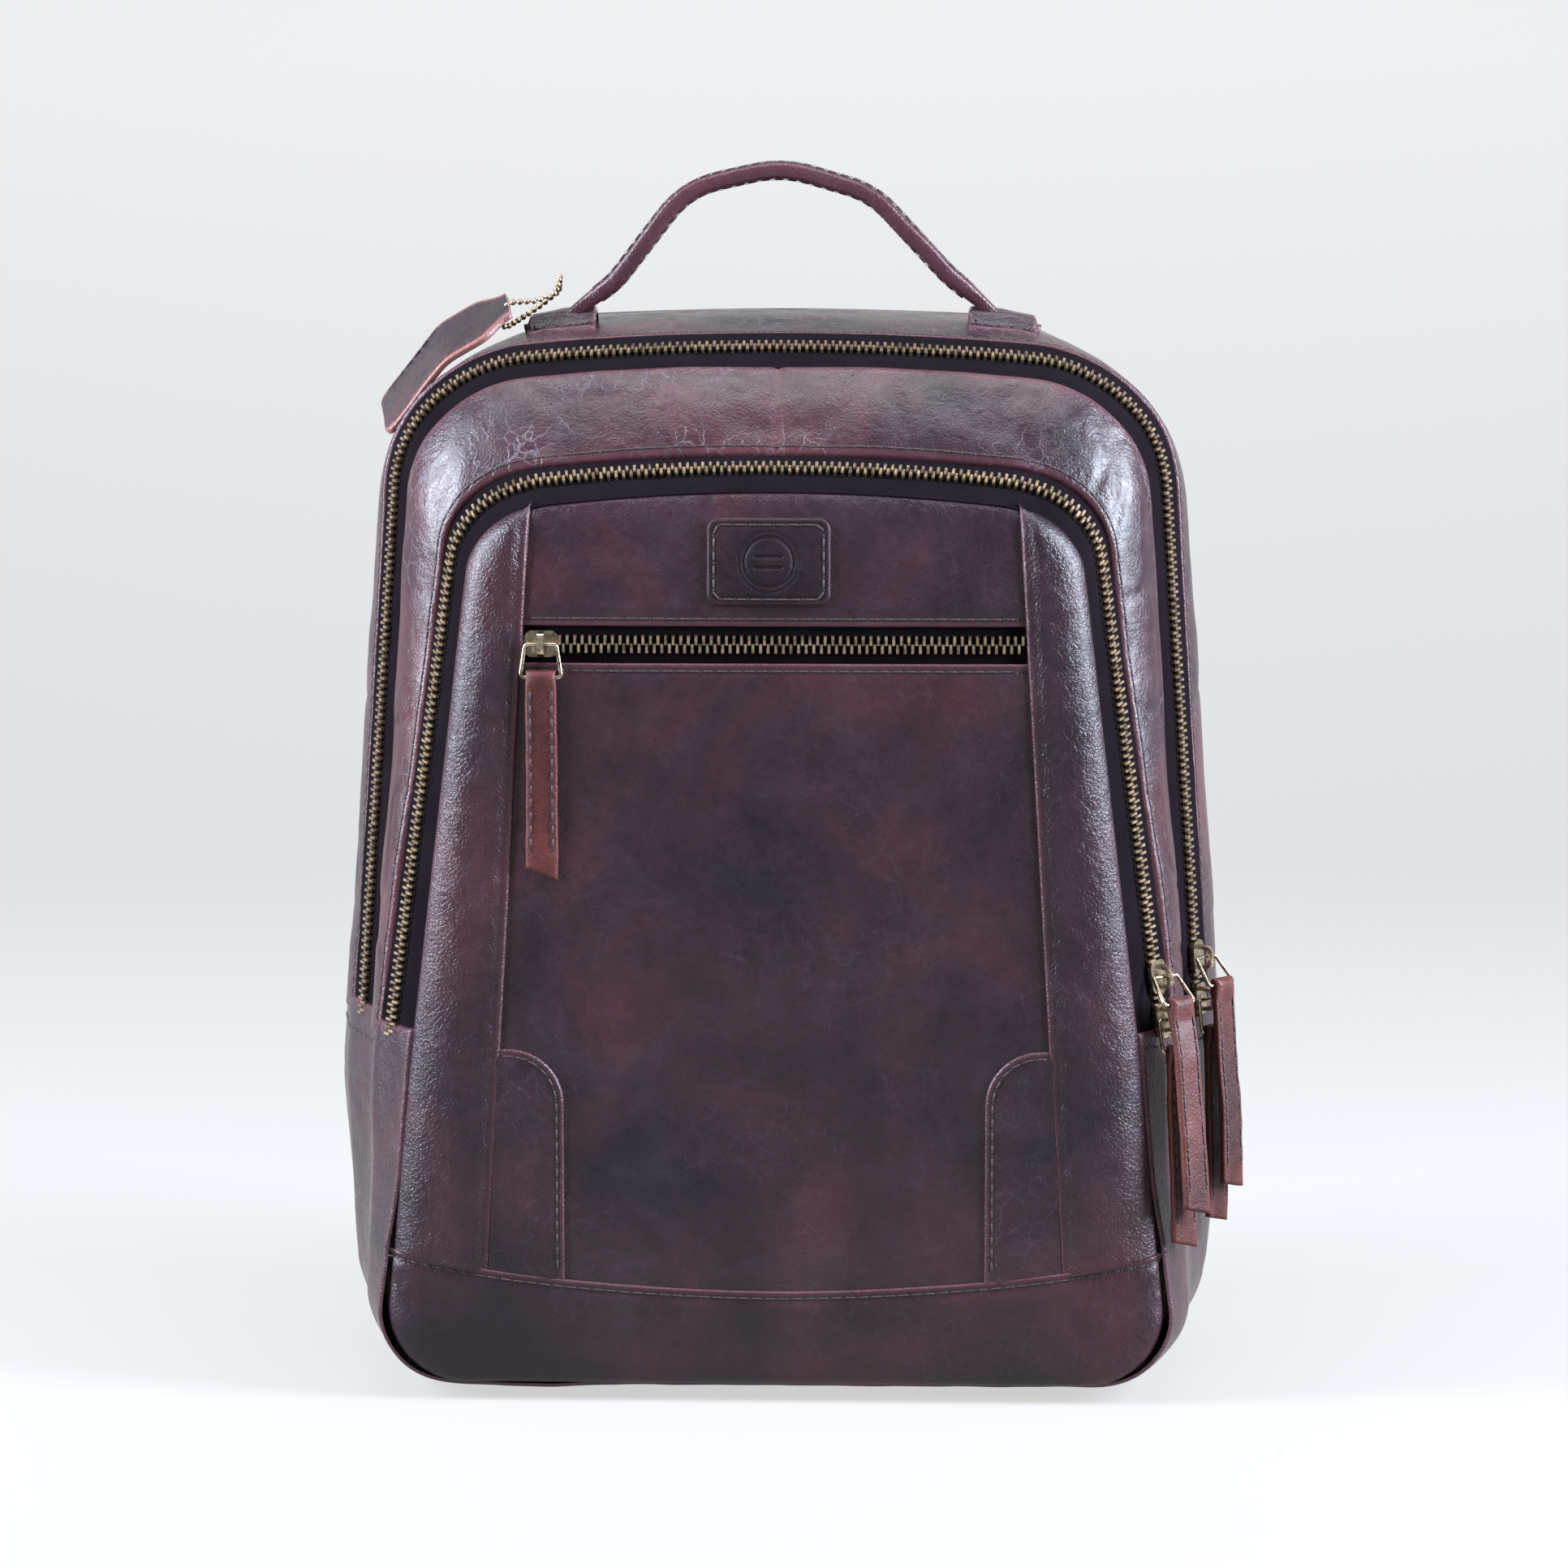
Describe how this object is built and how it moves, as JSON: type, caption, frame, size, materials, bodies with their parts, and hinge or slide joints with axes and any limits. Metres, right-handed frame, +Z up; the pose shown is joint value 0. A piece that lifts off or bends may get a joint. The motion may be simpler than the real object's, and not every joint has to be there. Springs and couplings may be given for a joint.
{
  "type": "backpack",
  "caption": "Leather backpack with two zipped compartments that fold open, a zipped front pocket, a carry handle and padded shoulder straps with adjusters",
  "frame": {"origin": "on the floor, centred between the sides of the bag, on the flat of its base", "axes": "+Z up, -Y out of the front with the zipped pocket, +Y out of the back with the shoulder straps, +X to the right when the front is faced"},
  "size_m": [0.3439, 0.1931, 0.45],
  "materials": {
    "leather_dark": "waxed",
    "leather_trim": "waxed",
    "zip_tape": "woven",
    "antique_brass": "aged",
    "lining": "woven",
    "foam": "matte",
    "board": "matte"
  },
  "bodies": {
    "back_shell": {"back_panel": "leather_dark", "back_foam": "foam", "base_board": "board", "laptop_divider": "lining", "rear_gusset": "leather_dark", "lower_gusset_left": "leather_dark", "lower_gusset_right": "leather_dark", "main_lining": "lining", "divider_skirt": "lining", "main_tape_rear": "zip_tape", "main_teeth_rear": "antique_brass", "strip_skirts": "leather_dark", "pocket_skirt": "leather_dark", "bottom_band": "leather_dark", "corner_patches": "leather_dark", "handle_tabs": "leather_dark", "strap_anchors": "leather_dark", "anchor_rings": "antique_brass", "strap_yoke": "leather_dark", "strap_heads": "leather_dark"},
    "main_flap": {"mid_panel": "leather_dark", "divider_wall": "lining", "main_tape_front": "zip_tape", "main_teeth_front": "antique_brass", "front_tape_rear": "zip_tape", "front_teeth_rear": "antique_brass"},
    "front_flap": {"front_tape_front": "zip_tape", "front_teeth_front": "antique_brass", "side_strip_left": "leather_dark", "side_strip_right": "leather_dark", "upper_panel": "leather_dark", "pocket_panel": "leather_dark", "badge": "leather_dark", "pocket_tape": "zip_tape", "pocket_teeth": "antique_brass", "pocket_bag": "lining"},
    "main_lower_slider_body": {"main_lower_slider": "antique_brass"},
    "main_lower_pull": {"main_lower_ring": "antique_brass", "main_lower_tab": "leather_trim"},
    "main_upper_slider_body": {"main_upper_slider": "antique_brass"},
    "main_upper_pull": {"main_upper_ring": "antique_brass", "main_upper_tab": "leather_trim"},
    "front_lower_slider_body": {"front_lower_slider": "antique_brass"},
    "front_lower_ring_body": {"front_lower_ring": "antique_brass", "front_lower_tab": "leather_trim"},
    "front_upper_slider_body": {"front_upper_slider": "antique_brass"},
    "front_upper_ring_body": {"front_upper_ring": "antique_brass"},
    "front_upper_tab_body": {"front_upper_tab": "leather_trim"},
    "pocket_slider_body": {"pocket_slider": "antique_brass"},
    "pocket_pull": {"pocket_ring": "antique_brass", "pocket_tab": "leather_trim"},
    "handle": {"carry_handle": "leather_dark"},
    "strap_left": {"strap_pad_left": "leather_dark", "strap_web_left": "leather_dark"},
    "adjuster_left_body": {"adjuster_left": "antique_brass"},
    "strap_right": {"strap_pad_right": "leather_dark", "strap_web_right": "leather_dark"},
    "adjuster_right_body": {"adjuster_right": "antique_brass"},
    "tag": {"hang_tag": "leather_trim", "tag_chain": "antique_brass"}
  },
  "joints": [
    {"name": "main_flap_hinge", "type": "hinge", "parent": "back_shell", "child": "main_flap", "pos_m": [0, -0.0635, 0.134], "axis": [1, 0, 0], "range_deg": [0, 25]},
    {"name": "front_flap_hinge", "type": "hinge", "parent": "main_flap", "child": "front_flap", "pos_m": [0, -0.0635, 0.134], "axis": [1, 0, 0], "range_deg": [0, 45]},
    {"name": "main_lower_slider_slide", "type": "slide", "parent": "back_shell", "child": "main_lower_slider_body", "axis": [-0.0709, 0, 0.9975], "range_m": [0, 0.07]},
    {"name": "main_lower_pull_hinge", "type": "hinge", "parent": "main_lower_slider_body", "child": "main_lower_pull", "pos_m": [0.16124, -0.00768, 0.14234], "axis": [0.766, -0.6428, 0], "range_deg": [0, 18]},
    {"name": "main_upper_slider_slide", "type": "slide", "parent": "main_lower_slider_body", "child": "main_upper_slider_body", "axis": [-0.0709, 0, 0.9975], "range_m": [0, 0.08]},
    {"name": "main_upper_pull_hinge", "type": "hinge", "parent": "main_upper_slider_body", "child": "main_upper_pull", "pos_m": [0.1601, -0.00768, 0.15834], "axis": [-0.6428, -0.766, 0], "range_deg": [0, 110]},
    {"name": "front_lower_slider_slide", "type": "slide", "parent": "main_flap", "child": "front_lower_slider_body", "axis": [-0.1346, 0, 0.9909], "range_m": [0, 0.04]},
    {"name": "front_lower_ring_hinge", "type": "hinge", "parent": "front_lower_slider_body", "child": "front_lower_ring_body", "pos_m": [0.14515, -0.05137, 0.14258], "axis": [1, 0, 0], "range_deg": [-25, 0]},
    {"name": "front_upper_slider_slide", "type": "slide", "parent": "front_lower_slider_body", "child": "front_upper_slider_body", "axis": [-0.1346, 0, 0.9909], "range_m": [0, 0.05]},
    {"name": "front_upper_ring_hinge", "type": "hinge", "parent": "front_upper_slider_body", "child": "front_upper_ring_body", "pos_m": [0.14297, -0.05137, 0.15858], "axis": [1, 0, 0], "range_deg": [-25, 0]},
    {"name": "front_upper_tab_hinge", "type": "hinge", "parent": "front_upper_ring_body", "child": "front_upper_tab_body", "pos_m": [0.14812, -0.0575, 0.14964], "axis": [-0.766, -0.6428, 0], "range_deg": [0, 100]},
    {"name": "pocket_slider_slide", "type": "slide", "parent": "front_flap", "child": "pocket_slider_body", "axis": [1, 0, 0], "range_m": [0, 0.166]},
    {"name": "pocket_pull_hinge", "type": "hinge", "parent": "pocket_slider_body", "child": "pocket_pull", "pos_m": [-0.0845, -0.06705, 0.282], "axis": [-1, 0, 0], "range_deg": [0, 110]},
    {"name": "handle_hinge", "type": "hinge", "parent": "back_shell", "child": "handle", "pos_m": [0, 0.03, 0.4018], "axis": [1, 0, 0], "range_deg": [-40, 40]},
    {"name": "strap_left_swing", "type": "hinge", "parent": "back_shell", "child": "strap_left", "pos_m": [-0.042, 0.0806, 0.366], "axis": [-0.2587, -0.0003, -0.9659], "range_deg": [-20, 20]},
    {"name": "adjuster_left_slide", "type": "slide", "parent": "strap_left", "child": "adjuster_left_body", "axis": [-0.2512, -0.2389, -0.938], "range_m": [-0.025, 0.045]},
    {"name": "strap_right_swing", "type": "hinge", "parent": "back_shell", "child": "strap_right", "pos_m": [0.042, 0.0806, 0.366], "axis": [0.2587, -0.0003, -0.9659], "range_deg": [-20, 20]},
    {"name": "adjuster_right_slide", "type": "slide", "parent": "strap_right", "child": "adjuster_right_body", "axis": [0.2512, -0.2389, -0.938], "range_m": [-0.025, 0.045]},
    {"name": "tag_swing", "type": "hinge", "parent": "back_shell", "child": "tag", "pos_m": [-0.084, 0.03, 0.4018], "axis": [0, 1, 0], "range_deg": [0, 8]}
  ],
  "couplings": [
    {"joint": "front_lower_ring_hinge", "follows": "main_flap_hinge", "ratio": -1},
    {"joint": "front_upper_ring_hinge", "follows": "main_flap_hinge", "ratio": -1}
  ]
}
